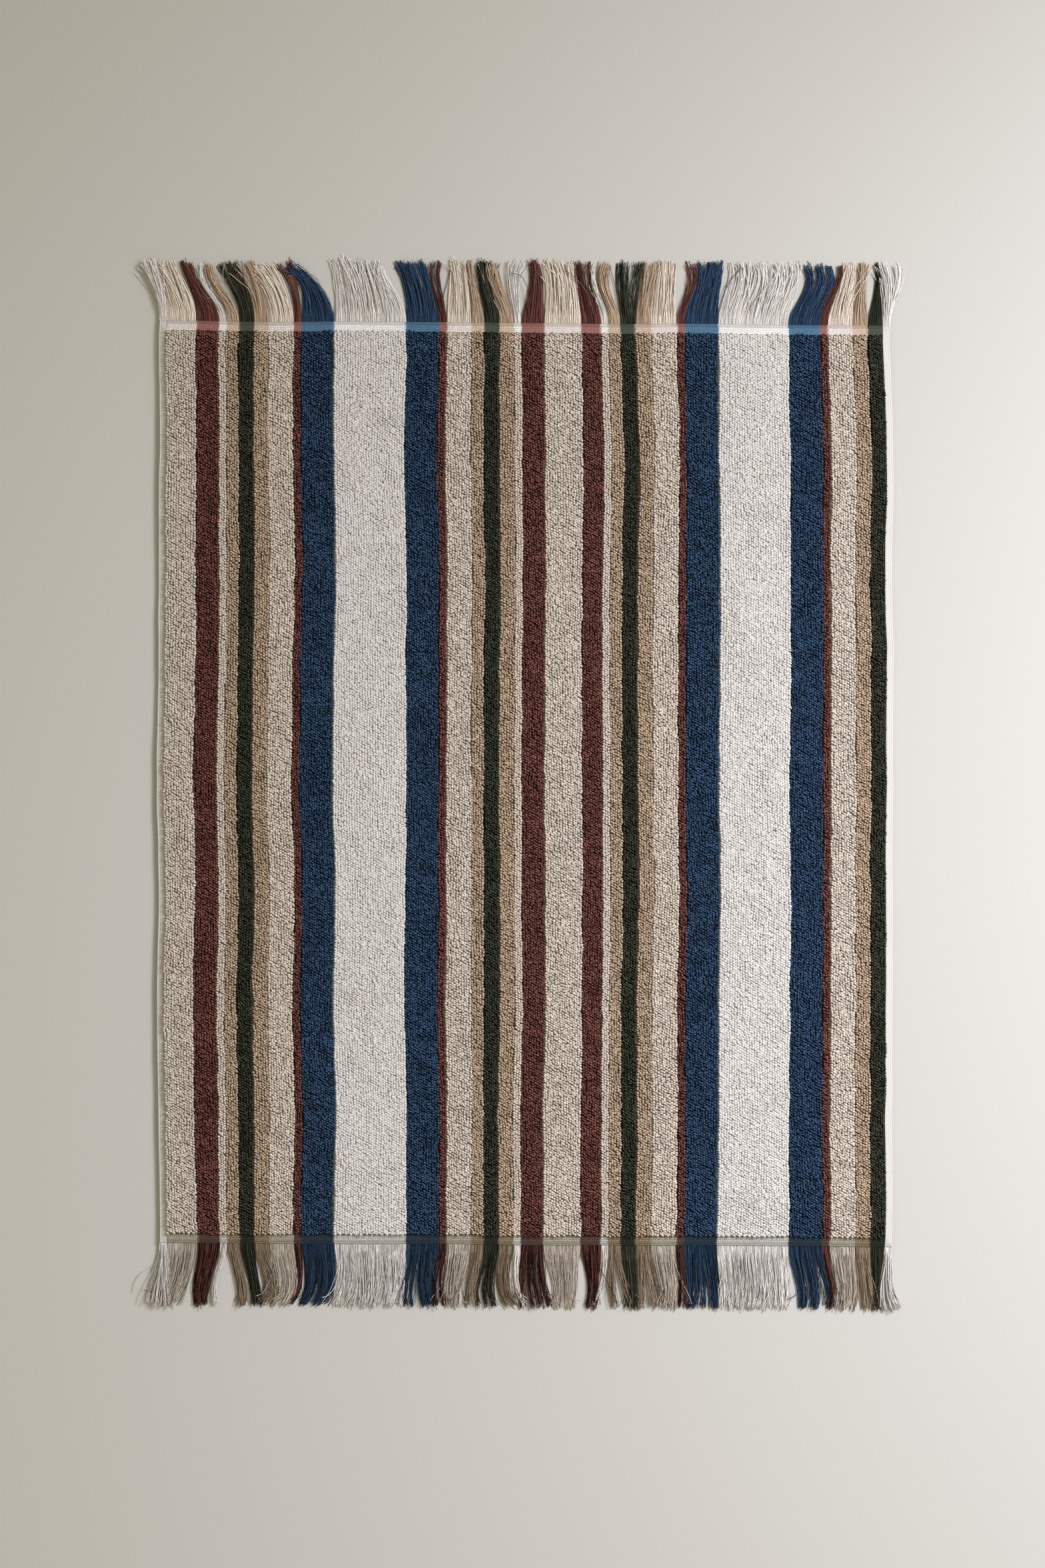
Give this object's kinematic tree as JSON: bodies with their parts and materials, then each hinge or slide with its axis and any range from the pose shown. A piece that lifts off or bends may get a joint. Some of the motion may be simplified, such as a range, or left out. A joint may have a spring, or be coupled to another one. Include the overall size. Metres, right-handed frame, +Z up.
{
  "type": "striped terry towel",
  "caption": "Striped cotton terry towel lying flat, with looped pile on both faces, flat-woven header bands, selvedges and a cut warp fringe at both ends.",
  "frame": {"origin": "middle of the towel on the surface that it lies on", "axes": "+Z up off the towel's back face, +Y along the warp yarns towards one fringed end, +X across the towel towards the narrow green stripe's side"},
  "size_m": [0.5, 0.715, 0.0062],
  "materials": {
    "yarn_beige": "matte cotton yarn",
    "yarn_burgundy": "matte cotton yarn",
    "yarn_white": "matte cotton yarn",
    "yarn_tan": "matte cotton yarn",
    "yarn_green": "matte cotton yarn",
    "yarn_blue": "matte cotton yarn",
    "ground_weave": "matte plain weave",
    "header_weave": "matte twill weave in stripe colours",
    "selvedge_weave": "matte flat weave"
  },
  "bodies": {
    "right_half": {"pile_18_burgundy": "yarn_burgundy", "pile_19_beige": "yarn_beige", "pile_20_burgundy": "yarn_burgundy", "pile_21_white": "yarn_white", "pile_22_tan": "yarn_tan", "pile_23_green": "yarn_green", "pile_24_tan": "yarn_tan", "pile_25_beige": "yarn_beige", "pile_26_burgundy": "yarn_burgundy", "pile_27_blue": "yarn_blue", "pile_28_white": "yarn_white", "pile_29_blue": "yarn_blue", "pile_30_burgundy": "yarn_burgundy", "pile_31_beige": "yarn_beige", "pile_32_tan": "yarn_tan", "pile_33_green": "yarn_green", "ground_cloth_right": "ground_weave", "header_top_right": "header_weave", "header_bottom_right": "header_weave", "selvedge_right": "selvedge_weave", "fringe_right_beige": "yarn_beige", "fringe_right_burgundy": "yarn_burgundy", "fringe_right_white": "yarn_white", "fringe_right_tan": "yarn_tan", "fringe_right_green": "yarn_green", "fringe_right_blue": "yarn_blue"},
    "left_half": {"pile_01_beige": "yarn_beige", "pile_02_burgundy": "yarn_burgundy", "pile_03_white": "yarn_white", "pile_04_tan": "yarn_tan", "pile_05_green": "yarn_green", "pile_06_tan": "yarn_tan", "pile_07_beige": "yarn_beige", "pile_08_burgundy": "yarn_burgundy", "pile_09_blue": "yarn_blue", "pile_10_white": "yarn_white", "pile_11_blue": "yarn_blue", "pile_12_burgundy": "yarn_burgundy", "pile_13_beige": "yarn_beige", "pile_14_tan": "yarn_tan", "pile_15_green": "yarn_green", "pile_16_tan": "yarn_tan", "pile_17_white": "yarn_white", "ground_cloth_left": "ground_weave", "header_top_left": "header_weave", "header_bottom_left": "header_weave", "selvedge_left": "selvedge_weave", "fringe_left_beige": "yarn_beige", "fringe_left_burgundy": "yarn_burgundy", "fringe_left_white": "yarn_white", "fringe_left_tan": "yarn_tan", "fringe_left_green": "yarn_green", "fringe_left_blue": "yarn_blue"}
  },
  "joints": [
    {"name": "fold_in_half", "type": "hinge", "parent": "right_half", "child": "left_half", "pos_m": [-0.00258, 0, 0.0088], "axis": [0, 1, 0], "range_deg": [0, 180]}
  ]
}
